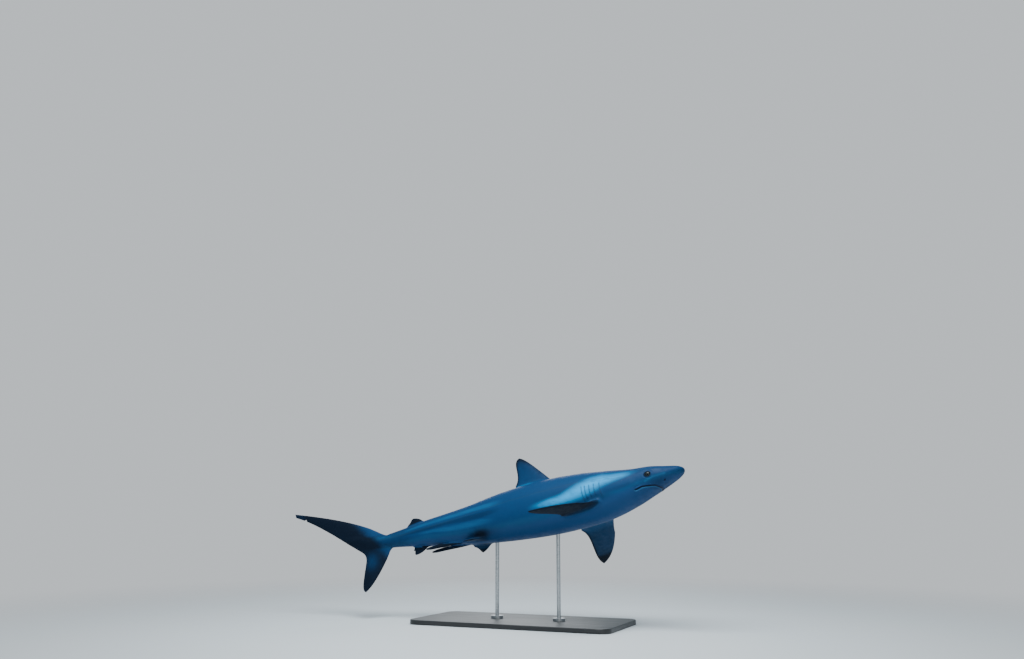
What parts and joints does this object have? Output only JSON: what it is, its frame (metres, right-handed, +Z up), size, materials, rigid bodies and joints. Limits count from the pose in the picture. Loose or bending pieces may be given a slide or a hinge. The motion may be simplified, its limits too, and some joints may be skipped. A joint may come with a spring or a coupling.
{
  "type": "shark model",
  "caption": "Life-size silky shark, swimming with its nose up and banked, head and tail swung to one side, held over a flat base by short rods.",
  "frame": {"origin": "middle of the underside of the stand's base, on the floor", "axes": "+X the way the shark heads, +Z up, +Y to the shark's left"},
  "size_m": [2.3029, 0.9584, 0.8641],
  "materials": {
    "skin": "painted cast resin: steel blue-grey back, pale belly, satin",
    "eye": "glossy dark glass eye",
    "stand_base": "satin black paint over wood",
    "stand_steel": "brushed"
  },
  "bodies": {
    "root": {"head": "skin", "lower_jaw": "skin", "eye_left": "eye", "eye_right": "eye", "gill_region": "skin", "trunk": "skin", "tail_stalk": "skin", "first_dorsal_fin": "skin", "second_dorsal_fin": "skin", "anal_fin": "skin", "pectoral_fin_left": "skin", "pelvic_fin_left": "skin", "clasper_left": "skin", "pectoral_fin_right": "skin", "pelvic_fin_right": "skin", "clasper_right": "skin", "tail_fin_upper_lobe": "skin", "tail_fin_lower_lobe": "skin", "stand_base": "stand_base", "stand_rod_front": "stand_steel", "stand_collar_front": "stand_steel", "stand_rod_rear": "stand_steel", "stand_collar_rear": "stand_steel"}
  },
  "joints": []
}
